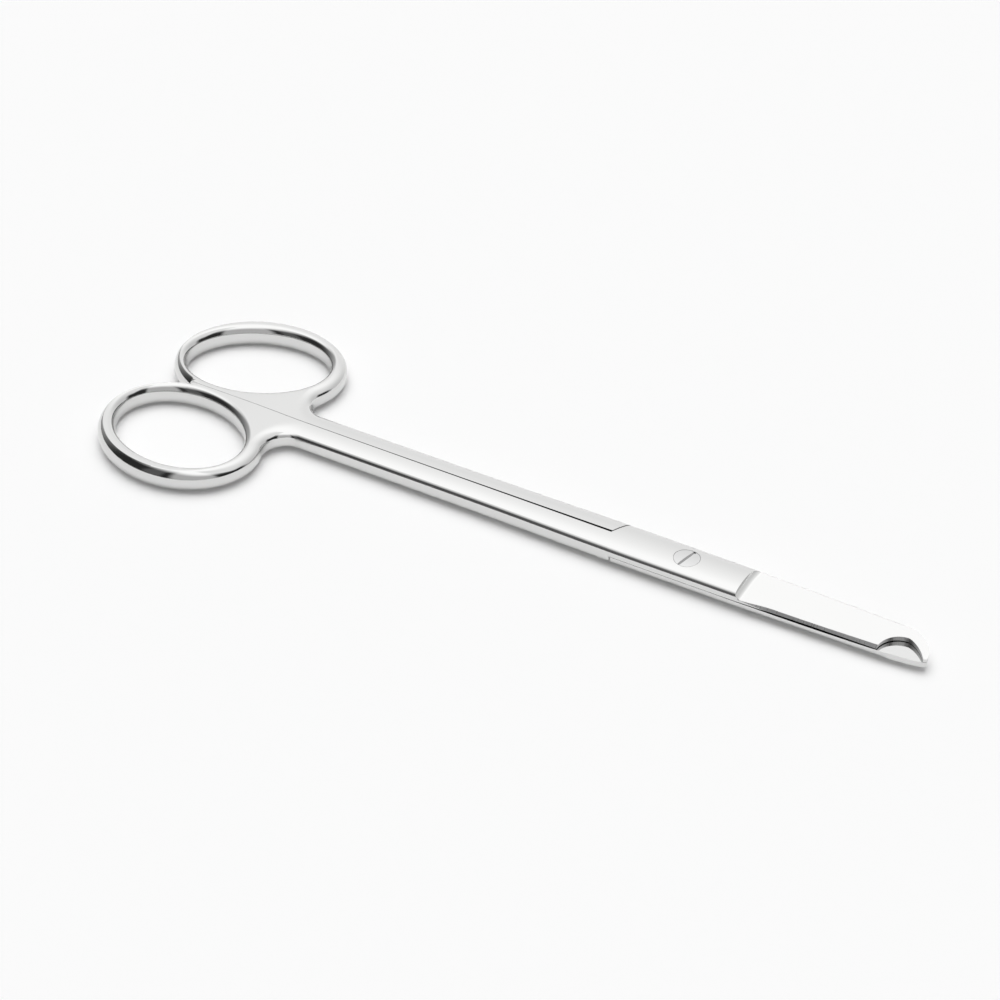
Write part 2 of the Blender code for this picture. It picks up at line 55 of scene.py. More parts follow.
for node in sorted(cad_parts):
    low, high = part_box(node)
    print(node, "measures", [round((b - a) / MM, 2) for a, b in zip(low, high)], "mm")

# %% [markdown]
# ## Sizes
#
# All sizes are real ones, in millimetres. +X runs from the pivot to the tip, and the
# pivot axis is the Z axis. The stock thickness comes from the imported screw, which is
# as long as the steel is thick. The rest repeats the driving sizes of the solids.

# %% Driving sizes
screw_low, screw_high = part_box("pivot_screw")
HEAD_SUNK = 0.02
STOCK_THICKNESS = (screw_high.z - screw_low.z) / MM + HEAD_SUNK
MID = STOCK_THICKNESS / 2
RING_HEIGHT = 3.7
PIVOT_TO_TIP = 36.8
PIVOT_TO_RING_BACK = 93.7

RING_LONG, RING_WIDE, RING_TILT = 27.7, 22.3, math.radians(11.5)
RING_OVERLAP = 0.8
HOLE_TILT = math.radians(15.4)
WALL_BACK, WALL_FRONT, WALL_OUTSIDE, WALL_MIDDLE = 2.0, 2.65, 2.9, 2.7
RING_EDGE_DEPTH = 1.7
RING_CROWN_POWER, SHANK_CROWN_POWER = 2.0, 4.2
RING_OVERSHOOT = 1.12
HOLE_EDGE_DEPTH, HOLE_CROWN_POWER = 1.3, 2.8

CROTCH_FILLET, WEB_LENGTH = 3.5, 12.0
WAIST_HALF_WIDTH, WAIST_END = 3.28, -35.0
SEAM_GAP_AT_RINGS, SEAM_GAP_AT_LAP = 0.04, 0.4
LAP_HALF_WIDTH, LAP_WIDEST = 3.5, -9.0
SHOULDER_AT_SEAM, SHOULDER_LEAN, SHOULDER_CLEARANCE = -11.9, 1.4, 0.2
LAP_CLEARANCE = 0.06

HEEL, HEEL_HALF_WIDTH = 9.0, 3.4
TAPER_END, TAPER_END_HALF_WIDTH = 30.0, 2.9
BLADE_BOW, BOW_START = 0.13, 5.0
print("stock", round(STOCK_THICKNESS, 3), "mm thick, rings", RING_HEIGHT, "mm")

# %% [markdown]
# ## The plan
#
# Seen from above, each half is an oval ring, a web, a long shank and a lap that
# carries the blade. Two curves settle the plan: half the width of the closed pair at
# each x, and the seam between the two shanks, tight at the rings and open at the lap.


# %% Curves of the plan
def smoothstep(low, high, value):
    share = np.clip((value - low) / (high - low), 0.0, 1.0)
    return share * share * (3.0 - 2.0 * share)


def half_width(x):
    lap = LAP_HALF_WIDTH + (HEEL_HALF_WIDTH - LAP_HALF_WIDTH) * smoothstep(LAP_WIDEST, HEEL, x)
    shank = WAIST_HALF_WIDTH + (LAP_HALF_WIDTH - WAIST_HALF_WIDTH) * smoothstep(WAIST_END, LAP_WIDEST, x)
    taper = (HEEL_HALF_WIDTH - TAPER_END_HALF_WIDTH) * np.maximum(0.0, x - HEEL) / (TAPER_END - HEEL)
    return np.where(x < LAP_WIDEST, shank, lap - taper)


def seam(x):
    share = (x + PIVOT_TO_RING_BACK) / (SHOULDER_AT_SEAM + PIVOT_TO_RING_BACK)
    return -0.5 * (SEAM_GAP_AT_RINGS + (SEAM_GAP_AT_LAP - SEAM_GAP_AT_RINGS) * share * share)


def turn_to(angle):
    return np.stack([np.cos(angle), np.sin(angle)], axis=-1)


def bearing(way):
    return math.atan2(way[1], way[0])


class Oval:
    """An ellipse in plan, with its centre, half axes and tilt."""

    def __init__(self, centre, half_long, half_wide, tilt):
        self.centre = np.array(centre, float)
        self.axes = np.array([turn_to(tilt), turn_to(tilt + math.pi / 2)])
        self.halves = np.array([half_long, half_wide])

    def points(self, angles):
        return self.centre + (turn_to(angles) * self.halves) @ self.axes

    def farthest(self, way):
        """The point that lies farthest in a direction, and how far from the centre."""
        pulls = self.halves**2 * (self.axes @ np.array(way))
        reach = math.sqrt(pulls @ (self.axes @ np.array(way)))
        return self.centre + pulls @ self.axes / reach, reach

    def hit(self, start, way):
        """Where a ray from a point inside leaves the oval."""
        p = self.axes @ (np.array(start) - self.centre) / self.halves
        d = self.axes @ np.array(way) / self.halves
        root = math.sqrt((p @ d) ** 2 - (d @ d) * (p @ p - 1.0))
        return start + way * ((root - p @ d) / (d @ d))


# %% [markdown]
# ## Ring, hole and crotch
#
# Each ring is an oval that the seam cuts off flat, and its hole is a second oval with a
# little more tilt. The web ends in a small fillet that touches both the ring and the
# shank. Its centre is found by halving an interval until the distance to the ring is
# the fillet's radius.

# %% Lay out one ring
outline = Oval((0.0, 0.0), RING_LONG / 2, RING_WIDE / 2, -RING_TILT)
centre_x = outline.farthest((1.0, 0.0))[1] - PIVOT_TO_RING_BACK
centre_y = seam(centre_x) - outline.farthest((0.0, 1.0))[1] + RING_OVERLAP
outline.centre = np.array([centre_x, centre_y])
hole_shift = np.array([WALL_BACK - WALL_FRONT, WALL_OUTSIDE - WALL_MIDDLE]) / 2 @ outline.axes
hole_halves = (RING_LONG - WALL_BACK - WALL_FRONT) / 2, (RING_WIDE - WALL_OUTSIDE - WALL_MIDDLE) / 2
hole = Oval(outline.centre + hole_shift, *hole_halves, -HOLE_TILT)
along_seam = np.array([-1.0, seam(centre_x - 1.0) - seam(centre_x)])
seam_start = outline.hit(np.array([centre_x, seam(centre_x)]), along_seam)

RING_POINTS, HALVINGS = 3001, 40
fillet_y = -WAIST_HALF_WIDTH - CROTCH_FILLET
round_the_ring = outline.points(np.linspace(0.0, 2.0 * math.pi, RING_POINTS))
near = outline.hit(np.array([centre_x, fillet_y]), np.array([1.0, 0.0]))[0]
far = near + 2.0 * CROTCH_FILLET
for _ in range(HALVINGS):
    fillet_centre = np.array([0.5 * (near + far), fillet_y])
    gaps = np.linalg.norm(round_the_ring - fillet_centre, axis=1)
    if gaps.min() < CROTCH_FILLET:
        near = fillet_centre[0]
    else:
        far = fillet_centre[0]
crotch = round_the_ring[gaps.argmin()]
web_back = fillet_centre[0] - WEB_LENGTH
print("ring centre", outline.centre.round(2), "hole", [round(2 * half, 1) for half in hole_halves])

# %% [markdown]
# ## A flat pattern
#
# The forging has one skin. Its lines run round the ring, along the web and shank, and
# out along the blade, so that highlights stay smooth. The rays of the ring also take
# the foot of the fillet, because a straight row from the seam would leave the steel
# there. It is drawn flat first: every point has a place in plan, a side (1 for the
# upper skin, -1 for the underside, 0 on a rim) and a mark if it lies on the inner
# face. Heights come later, from one rule.

# %% Density of the fine mesh
SECTION_STEPS = 14
WEB_STEPS = 12
RING_RAYS = 216
SEAM_RAYS = 26
FILLET_RAYS = 16
FILLET_SPLIT = math.radians(148.0)
WEB_LEAN = 1.8
FILLET_STATIONS = 20
SHANK_STATIONS = 120
LAP_STATIONS = 110
BLADE_END_SPARE = 0.5
LEAST_DEPTH = 4e-4
EDGE_SHARE = 0.48


def section_depths(power, overshoot=1.0):
    """Depths from 0 at the rim to full height, with even steps of slope between them."""
    heights = np.sin(math.asin(1.0 / overshoot) * np.arange(SECTION_STEPS + 1) / SECTION_STEPS)
    depths = 1.0 - np.sqrt(np.maximum(0.0, 1.0 - heights**power))
    depths[1:] = np.maximum(LEAST_DEPTH, depths[1:])
    return depths


# %% Points and faces of the pattern
class Pattern:
    """Plan points, what each one is, and the faces between them."""

    def __init__(self):
        self.points, self.side, self.inner, self.faces = [], [], [], []

    def add(self, points, side, inner=0):
        first = len(self.points)
        self.points += [tuple(point) for point in points]
        self.side += [side] * len(points)
        self.inner += [inner] * len(points)
        return list(range(first, len(self.points)))

    def face(self, *corners):
        kept = list(dict.fromkeys(corners))
        if len(kept) > 2:
            self.faces.append(kept)

    def strip(self, row, other):
        for a, b, c, d in zip(row, row[1:], other[1:], other):
            self.face(a, b, c, d)

    def sheet(self, rows):
        for row, other in zip(rows, rows[1:]):
            self.strip(row, other)

    def both_skins(self, points, rims):
        """One row on the upper skin and one on the underside. They share their rim points."""
        top = self.add(points, 1)
        bottom = self.add(points, -1)
        for i in rims:
            self.side[top[i]] = 0
            bottom[i] = top[i]
        return top, bottom


pattern = Pattern()
rim_depths = section_depths(RING_CROWN_POWER, RING_OVERSHOOT)
hole_depths = section_depths(HOLE_CROWN_POWER)
lap_depths = section_depths(SHANK_CROWN_POWER)

# %% Rays round the fillet's foot and the ring
fillet_turn = bearing(crotch - fillet_centre) % (2.0 * math.pi)
foot_turns = np.linspace(FILLET_SPLIT, fillet_turn, FILLET_RAYS + 1)
foot = fillet_centre + CROTCH_FILLET * turn_to(foot_turns)
first_turn = bearing(crotch - hole.centre)
last_turn = bearing(seam_start - hole.centre) - 2.0 * math.pi
ring_turns = np.linspace(first_turn, last_turn, RING_RAYS + 1)
ends = list(foot[:-1]) + [outline.hit(hole.centre, turn_to(turn)) for turn in ring_turns]
RIM_RAYS = FILLET_RAYS + RING_RAYS
seam_x = np.linspace(seam_start[0], foot[0][0] - WEB_LEAN, SEAM_RAYS + 1)[1:]
ends += [np.array([x, seam(x)]) for x in seam_x]
across_from = ends[-1]
ends += [across_from + (foot[0] - across_from) * (1.0 - depth) for depth in lap_depths[-2:0:-1]]

tops, bottoms = [], []
for i, end in enumerate(ends):
    way = (end - hole.centre) / np.linalg.norm(end - hole.centre)
    inner_end = hole.hit(hole.centre, way)
    wall = np.linalg.norm(end - inner_end)
    at_rim = i <= RIM_RAYS
    near_hole = min(EDGE_SHARE / hole_depths[-1], HOLE_EDGE_DEPTH / wall) * hole_depths
    near_rim = 1.0 - min(EDGE_SHARE / rim_depths[-1], RING_EDGE_DEPTH / wall) * rim_depths[::-1]
    middle = np.linspace(near_hole[-1], near_rim[0], WEB_STEPS + 1)[1:-1]
    shares = np.concatenate([near_hole, middle, near_rim])
    row = inner_end + (end - inner_end) * shares[:, None]
    top, bottom = pattern.both_skins(row, [0, -1] if at_rim else [0])
    tops.append(top)
    bottoms.append(bottom)
pattern.sheet(tops + tops[:1])
pattern.sheet(bottoms + bottoms[:1])
print("ring and web:", len(pattern.points), "points")

# %% Rows along the shank
seam_rays = range(RIM_RAYS, RIM_RAYS + SEAM_RAYS + 1)
web_rays = [i % len(ends) for i in range(seam_rays[-1], len(ends) + 1)]
across = np.array([np.linalg.norm(ends[i] - across_from) for i in web_rays])
across /= across[-1]
shank_x = np.linspace(across_from[0], SHOULDER_AT_SEAM, FILLET_STATIONS + SHANK_STATIONS + 1)[1:]

fillet_turns = np.linspace(FILLET_SPLIT, 0.5 * math.pi, FILLET_STATIONS + 1)[1:]
fillet = fillet_centre + CROTCH_FILLET * turn_to(fillet_turns)
side_x = np.linspace(fillet_centre[0], SHOULDER_AT_SEAM + SHOULDER_LEAN, SHANK_STATIONS + 1)[1:]
outer_side = np.concatenate([fillet, np.stack([side_x, -half_width(side_x)], axis=1)])

shank_tops = [[tops[i][-1] for i in web_rays]]
shank_bottoms = [[bottoms[i][-1] for i in web_rays]]
for x, outer in zip(shank_x, outer_side):
    start = np.array([x, seam(x)])
    top, bottom = pattern.both_skins(start + (outer - start) * across[:, None], [-1])
    shank_tops.append(top)
    shank_bottoms.append(bottom)
pattern.sheet(shank_tops)
pattern.sheet(shank_bottoms)
seam_top = [tops[i][-1] for i in seam_rays] + [row[0] for row in shank_tops[1:]]
seam_bottom = [bottoms[i][-1] for i in seam_rays] + [row[0] for row in shank_bottoms[1:]]
pattern.strip(seam_top[:-1], seam_bottom[:-1])
lap_start = len(pattern.points)

# %% Lap and blade, at half the thickness
shoulder_top = shank_tops[-1][::-1]
shoulder_bottom = shank_bottoms[-1][::-1]
pattern.inner[shoulder_top[0]] = 1
near_row = [pattern.points[i] for i in shoulder_top[1:]]
low_row = [shoulder_top[0]] + pattern.add(near_row, 0, inner=1)
top_row = list(shoulder_top)
corner = np.array(near_row[-1])
for depth in lap_depths[-2::-1]:
    x = corner[0] + (SHOULDER_LEAN + SHOULDER_CLEARANCE) * (1.0 - depth)
    y = corner[1] + (half_width(x) - corner[1]) * (1.0 - depth)
    low = pattern.add([(x, y)], 0, inner=1)
    low_row += low
    top_row += low if depth == 0.0 else pattern.add([(x, y)], 1)

lap_tops, lap_lows = [top_row], [low_row]
lap_shares = np.concatenate([lap_depths - 1.0, 1.0 - lap_depths[-2::-1]])
lap_x = np.linspace(corner[0] + 2.0 * SHOULDER_LEAN, PIVOT_TO_TIP + BLADE_END_SPARE, LAP_STATIONS)
for x in lap_x:
    row = np.stack([np.full(len(lap_shares), x), lap_shares * half_width(x)], axis=1)
    low = pattern.add(row, 0, inner=1)
    lap_lows.append(low)
    lap_tops.append([low[0]] + pattern.add(row[1:-1], 1) + [low[-1]])
pattern.sheet(lap_tops)
pattern.sheet(lap_lows)
pattern.strip(lap_tops[-1], lap_lows[-1])

count = len(shoulder_top)
pattern.strip(low_row[:count], shoulder_bottom)
pattern.strip(top_row[count - 1 :], low_row[count - 1 :])
pattern.face(seam_top[-2], seam_top[-1], low_row[count - 1], seam_bottom[-1], seam_bottom[-2])
print("whole pattern:", len(pattern.points), "points,", len(pattern.faces), "faces")

# %% [markdown]
# ## How deep each point lies
#
# A drop forging is roundest at its rims, so its height follows from the distance to
# the nearest rim. On the ring the outer side is round over 1.7 mm, and the hole's edge is
# tighter and squarer. The shank is flat-crowned: there the depth counts from the outer
# side to the seam. Over the web the one law blends into the other.


# %% Distances to the rims
OVAL_STEPS, FOOT_STEPS, LAP_RIM_STEPS = 900, 120, 12
LEAST_LENGTH = 1e-6


def distances(points, polyline, chunk=1500):
    """How far each point lies from a polyline, some points at a time to save memory."""
    start = polyline[:-1]
    edge = polyline[1:] - start
    length = (edge**2).sum(axis=1)
    found = []
    for i in range(0, len(points), chunk):
        offset = points[i : i + chunk, None, :] - start[None, :, :]
        along = np.clip((offset * edge).sum(axis=2) / length, 0.0, 1.0)
        found.append(np.sqrt(((offset - along[:, :, None] * edge) ** 2).sum(axis=2).min(axis=1)))
    return np.concatenate(found)


plan = np.array(pattern.points)
side = np.array(pattern.side, float)
inner = np.array(pattern.inner, float)
fine_turns = np.linspace(last_turn, first_turn, OVAL_STEPS)
fine_ring = np.array([outline.hit(hole.centre, turn_to(turn)) for turn in fine_turns])
lap_rim_x = np.linspace(side_x[-1], 0.0, LAP_RIM_STEPS)[1:]
lap_rim = np.stack([lap_rim_x, -half_width(lap_rim_x)], axis=1)
fine_foot_turns = np.linspace(fillet_turn, FILLET_SPLIT, FOOT_STEPS)
fine_foot = fillet_centre + CROTCH_FILLET * turn_to(fine_foot_turns)
rim = np.concatenate([fine_ring, fine_foot, outer_side, lap_rim])
hole_rim = hole.points(np.linspace(0.0, 2.0 * math.pi, OVAL_STEPS))

to_rim = distances(plan, rim)
to_hole = distances(plan, hole_rim)
blend = smoothstep(web_back, fillet_centre[0], plan[:, 0])
ring_depth = np.maximum(LEAST_LENGTH, np.minimum(RING_EDGE_DEPTH, to_rim + to_hole))
rim_depth = ring_depth + (half_width(plan[:, 0]) + seam(plan[:, 0]) - ring_depth) * blend
rim_share = to_rim / rim_depth
hole_share = to_hole / np.maximum(LEAST_LENGTH, np.minimum(HOLE_EDGE_DEPTH, to_rim + to_hole))
rim_share[lap_start:] = 1.0 - np.abs(plan[lap_start:, 1]) / half_width(plan[lap_start:, 0])
hole_share[lap_start:] = 1.0
print("thinnest wall of the ring:", round((to_rim + to_hole)[side > 0].min(), 2), "mm")

# %% [markdown]
# ## Sums in node trees
#
# Node trees hold a lot of arithmetic. A small class wraps a socket, and each Python
# operator on it adds the Math node that does the same. Every other node comes from
# one method, which takes the node's type, its settings and its values or links.


# %% A socket that can be reckoned with
class Expr:
    """A socket in a node tree. Operators on it add Math nodes."""

    def __init__(self, maker, socket):
        self.maker = maker
        self.socket = socket

    def math(self, operation, *terms):
        node = self.maker.add("ShaderNodeMath", {"operation": operation}, dict(enumerate(terms)))
        return self.maker.out(node)

    def __add__(self, other):
        return self.math("ADD", self, other)

    def __sub__(self, other):
        return self.math("SUBTRACT", self, other)

    def __rsub__(self, other):
        return self.math("SUBTRACT", other, self)

    def __mul__(self, other):
        return self.math("MULTIPLY", self, other)

    def __truediv__(self, other):
        return self.math("DIVIDE", self, other)

    def __rtruediv__(self, other):
        return self.math("DIVIDE", other, self)

    def __pow__(self, other):
        return self.math("POWER", self, other)

    __radd__ = __add__
    __rmul__ = __mul__

    def least(self, other):
        return self.math("MINIMUM", self, other)

    def most(self, other):
        return self.math("MAXIMUM", self, other)

    def sine(self):
        return self.math("SINE", self)

    def between(self, low, high):
        """0 up to low, 1 from high, and a smooth step between."""
        share = ((self - low) / (high - low)).most(0.0).least(1.0)
        return share * share * (3.0 - 2.0 * share)


class Maker:
    """Adds nodes to one tree."""

    def __init__(self, tree):
        self.tree = tree

    def add(self, kind, settings=None, values=None):
        node = self.tree.nodes.new(kind)
        for name, value in (settings or {}).items():
            setattr(node, name, value)
        for name, value in (values or {}).items():
            if isinstance(value, Expr):
                self.tree.links.new(value.socket, node.inputs[name])
            else:
                node.inputs[name].default_value = value
        return node

    def out(self, node, name=0):
        return Expr(self, node.outputs[name])

    def attribute(self, name):
        settings = {"data_type": "FLOAT"}
        return self.out(self.add("GeometryNodeInputNamedAttribute", settings, {"Name": name}), "Attribute")


# %% [markdown]
# ## The forging die
#
# One Geometry Nodes tree raises the flat pattern to its full shape, as a die does.
# The crown law is (1 - (1 - depth)^2)^(1 / power): power 2 is round, as on the ring,
# and a higher power is flatter on top and steeper at the rim, as on the shank. On the
# ring an overshoot makes the arch higher than the steel, and the grinding wheel takes
# its top off flat, which leaves a soft edge all round, as in the photograph. The inner
# face is flat, with a slight bow between the pivot and the tip, because real
# blades are set to touch at the tip only.

# %% Build the die
DIE_SIZES = {
    "Stock Thickness": STOCK_THICKNESS * MM,
    "Ring Height": RING_HEIGHT * MM,
    "Ring Crown Power": RING_CROWN_POWER,
    "Shank Crown Power": SHANK_CROWN_POWER,
    "Ring Overshoot": RING_OVERSHOOT,
    "Hole Crown Power": HOLE_CROWN_POWER,
    "Lap Clearance": LAP_CLEARANCE * MM,
    "Blade Bow": BLADE_BOW * MM,
    "Bow Start": BOW_START * MM,
    "Tip": PIVOT_TO_TIP * MM,
}


def crown_nodes(depth, power, overshoot):
    rest = 1.0 - depth.least(1.0)
    return ((1.0 - rest * rest) ** (1.0 / power) * overshoot).least(1.0)


def forging_die():
    tree = bpy.data.node_groups.new("forging_die", "GeometryNodeTree")
    tree.interface.new_socket("Pattern", in_out="INPUT", socket_type="NodeSocketGeometry")
    for name in DIE_SIZES:
        tree.interface.new_socket(name, in_out="INPUT", socket_type="NodeSocketFloat")
    tree.interface.new_socket("Steel", in_out="INPUT", socket_type="NodeSocketMaterial")
    tree.interface.new_socket("Forging", in_out="OUTPUT", socket_type="NodeSocketGeometry")
    maker = Maker(tree)
    given = maker.add("NodeGroupInput")
    size = {name: maker.out(given, name) for name in DIE_SIZES}
    mix = maker.attribute("blend")

    power = size["Ring Crown Power"] + (size["Shank Crown Power"] - size["Ring Crown Power"]) * mix
    full = (size["Ring Height"] + (size["Stock Thickness"] - size["Ring Height"]) * mix) * 0.5
    overshoot = size["Ring Overshoot"] + (1.0 - size["Ring Overshoot"]) * mix
    outer = crown_nodes(maker.attribute("rim_share"), power, overshoot)
    inside = crown_nodes(maker.attribute("hole_share"), size["Hole Crown Power"], 1.0)
    skin = maker.attribute("side") * full * outer * inside

    place = maker.out(maker.add("GeometryNodeInputPosition"))
    x = maker.out(maker.add("ShaderNodeSeparateXYZ", values={0: place}), "X")
    along = ((x - size["Bow Start"]) / (size["Tip"] - size["Bow Start"])).most(0.0).least(1.0)
    arch = (along * math.pi).sine()
    inner_face = maker.attribute("inner") * (size["Lap Clearance"] * 0.5 + size["Blade Bow"] * arch * arch)

    height = size["Stock Thickness"] * 0.5 + skin + inner_face
    offset = maker.out(maker.add("ShaderNodeCombineXYZ", values={"Z": height}))
    flat = {"Geometry": maker.out(given, "Pattern"), "Offset": offset}
    raised = maker.add("GeometryNodeSetPosition", values=flat)
    real = maker.add("GeometryNodeRealizeInstances", values={"Geometry": maker.out(raised)})
    steel = {"Geometry": maker.out(real), "Material": maker.out(given, "Steel")}
    dressed = maker.add("GeometryNodeSetMaterial", values=steel)
    maker.add("NodeGroupOutput", values={"Forging": maker.out(dressed)})
    return tree


die = forging_die()
print("die:", len(die.nodes), "nodes")


# %% [markdown]
# ## Cutters
#
# After forging, the smith grinds. Each cut is a plain closed solid, taken away with
# a Boolean: the flat face of the blade with a hollow ramp at its heel, the cutting
# bevel at 45 degrees, the rounded tip, and in the upper blade the broken edge along
# the spine and the hook's hollow that lifts a stitch. A cutter wears the finish of
# its wheel, and the Boolean passes that on to the faces it makes. The solids have a
# longer ramp at the spine: here it is short all the way, so that it shines evenly.


# %% Helpers for solids
def in_metres(points):
    return [tuple(coordinate * MM for coordinate in point) for point in points]


def face_outwards(mesh):
    shape = bmesh.new()
    shape.from_mesh(mesh)
    bmesh.ops.recalc_face_normals(shape, faces=shape.faces)
    shape.to_mesh(mesh)
    shape.free()


def mesh_of(name, points, faces, material):
    """A mesh from points in millimetres, with its faces turned outwards."""
    mesh = bpy.data.meshes.new(name)
    mesh.from_pydata(in_metres(points), [], faces)
    face_outwards(mesh)
    mesh.materials.append(material)
    mesh.shade_smooth()
    return mesh


def shown(name, mesh):
    made = bpy.data.objects.new(name, mesh)
    bpy.context.scene.collection.objects.link(made)
    return made


def loft(name, sections, material):
    """A closed solid through sections that each have the same number of points."""
    size = len(sections[0])
    points = [point for section in sections for point in section]
    faces = [list(range(size)), list(range(len(points) - size, len(points)))]
    for start in range(0, len(points) - size, size):
        for i in range(size):
            j = (i + 1) % size
            faces.append([start + i, start + j, start + size + j, start + size + i])
    return shown(name, mesh_of(name, points, faces, material))


def prism(name, plan_outline, low_z, high_z, material):
    return loft(name, [[(x, y, z) for x, y in plan_outline] for z in (low_z, high_z)], material)


def superellipse(half_x, half_y, power, turns):
    """Points of a quarter, from the X half axis at turn 0 to the Y half axis."""
    return [(math.cos(t) ** (2 / power) * half_x, math.sin(t) ** (2 / power) * half_y) for t in turns]


# %% Sizes of the cuts
SPINE_THICKNESS, EDGE_THICKNESS = 0.95, 0.4
HEEL_CURVE, HEEL_FILLET = 0.3, 1.0
SPINE_LINE_WIDTH, SPINE_LINE_LEAN = 0.28, math.radians(28.0)
EDGE_INSET, EDGE_RUN_IN = 0.05, 5.0
TIP_ROUNDING, TIP_ROUNDING_POWER = 5.8, 2.0
TIP_NEAR_LENGTH, TIP_NEAR_DEPTH = 12.0, 0.9
NOTCH_LENGTH, NOTCH_BACK_SHARE, NOTCH_DEPTH = 6.65, 0.48, 3.5
NOTCH_BACK_POWER, NOTCH_FRONT_POWER = 2.0, 1.4
HOOK_POINT_WIDTH = 0.15
CUTTER_REACH = 2.0
CURVE_STEPS, RAMP_STEPS = 60, 20
ABOVE = STOCK_THICKNESS + CUTTER_REACH
BEYOND = PIVOT_TO_TIP + CUTTER_REACH
quarter = np.linspace(0.0, 0.5 * math.pi, CURVE_STEPS + 1)


def near_edge(x):
    return float(-half_width(x)) + EDGE_INSET


def face_height(y):
    share = (y + HEEL_HALF_WIDTH) / (2.0 * HEEL_HALF_WIDTH)
    return MID + LAP_CLEARANCE / 2 + EDGE_THICKNESS + (SPINE_THICKNESS - EDGE_THICKNESS) * share


# %% The ground face and its ramp
def face_grind(material):
    sections = []
    reach = LAP_HALF_WIDTH + CUTTER_REACH
    for y in np.linspace(-reach, reach, CURVE_STEPS + 1):
        face = face_height(y)
        to_spine = max(0.0, y) / HEEL_HALF_WIDTH
        ramp = HEEL + HEEL_CURVE * to_spine**2
        section = [(ramp, y, ABOVE)]
        for turn in np.linspace(0.0, 0.5 * math.pi, RAMP_STEPS):
            x = ramp + HEEL_FILLET * (1.0 - math.cos(turn))
            section.append((x, y, face + HEEL_FILLET * (1.0 - math.sin(turn))))
        sections.append(section + [(BEYOND, y, face), (BEYOND, y, ABOVE)])
    return loft("face_grind", sections, material)


# %% The cutting bevel
def edge_bevel(material):
    sections = []
    start = HEEL + HEEL_FILLET / 2
    rise = SPINE_THICKNESS + EDGE_THICKNESS
    for x in np.linspace(start, BEYOND, CURVE_STEPS + 1):
        run_in = EDGE_THICKNESS * (1.0 - smoothstep(start, start + EDGE_RUN_IN, x))
        bow = math.sin(math.pi * np.clip((x - BOW_START) / (PIVOT_TO_TIP - BOW_START), 0.0, 1.0)) ** 2
        y = near_edge(x) - run_in
        z = MID + LAP_CLEARANCE / 2 + BLADE_BOW * bow
        low = (x, y - EDGE_THICKNESS, z - EDGE_THICKNESS)
        high = (x, y + rise, z + rise)
        sections.append([low, high, (x, y - rise, z + rise), (x, y - rise, z - EDGE_THICKNESS)])
    return loft("edge_bevel", sections, material)


# %% The broken edge of the spine
def spine_line(material):
    sections = []
    for x in np.linspace(HEEL + 2.0 * HEEL_FILLET, BEYOND, CURVE_STEPS + 1):
        y = float(half_width(x)) - SPINE_LINE_WIDTH
        z = face_height(y)
        outer = y + 2.0 * CUTTER_REACH
        low = z - 2.0 * CUTTER_REACH * math.tan(SPINE_LINE_LEAN)
        sections.append([(x, y, z), (x, outer, low), (x, outer, ABOVE), (x, y, ABOVE)])
    return loft("spine_line", sections, material)


# %% The rounded tip
def tip_cut(material):
    start_x = PIVOT_TO_TIP - TIP_ROUNDING
    end_y = float(-half_width(PIVOT_TO_TIP)) - EDGE_INSET + TIP_NEAR_DEPTH
    arch = superellipse(TIP_ROUNDING, float(half_width(start_x)) - end_y, TIP_ROUNDING_POWER, quarter[::-1])
    line = [(start_x + x, end_y + y) for x, y in arch]
    for turn in quarter[1:]:
        x = PIVOT_TO_TIP - TIP_NEAR_LENGTH * (1.0 - math.cos(turn))
        line.append((x, float(-half_width(x)) - EDGE_INSET + TIP_NEAR_DEPTH * (1.0 - math.sin(turn))))
    low_y, high_y = line[-1][1] - CUTTER_REACH, line[0][1] + CUTTER_REACH
    line += [(line[-1][0], low_y), (BEYOND, low_y), (BEYOND, high_y), (start_x, high_y)]
    return prism("tip_cut", line, -CUTTER_REACH, ABOVE, material)


# %% The hook's hollow
def notch_cut(material):
    point_x = PIVOT_TO_TIP - HOOK_POINT_WIDTH
    back_x = point_x - NOTCH_LENGTH
    deepest_x = back_x + NOTCH_BACK_SHARE * NOTCH_LENGTH
    low_y = near_edge(back_x)
    back = superellipse(deepest_x - back_x, NOTCH_DEPTH, NOTCH_BACK_POWER, quarter)
    front = superellipse(point_x - deepest_x, NOTCH_DEPTH, NOTCH_FRONT_POWER, quarter[::-1])
    line = [(deepest_x - x, low_y + y) for x, y in back]
    line += [(deepest_x + x, low_y + y) for x, y in front[1:]]
    line += [(point_x, low_y - CUTTER_REACH), (back_x, low_y - CUTTER_REACH)]
    return prism("notch_cut", line, MID - CUTTER_REACH, ABOVE, material)


# %% [markdown]
# ## The screw
#
# The pivot screw is a turned piece: a flat cheese head sunk flush in the upper half,
# a smooth shoulder that the upper half turns on, and a threaded end, flush below. Its
# head was ground off together with the lap, so its top follows the lap's crown.

# %% Turned solids
HEAD_RADIUS, HEAD_HEIGHT = 1.88, 0.85
PIVOT_RADIUS, THREAD_RADIUS, SCREW_CLEARANCE = 1.3, 1.15, 0.05
SCREW_CHAMFER = 0.15
SLOT_WIDTH, SLOT_DEPTH, SLOT_ANGLE = 0.42, 0.32, math.radians(77.0)
SCREW_SIDES = 128
SCREW_FACE_RINGS = 24
SEAT = STOCK_THICKNESS - HEAD_HEIGHT


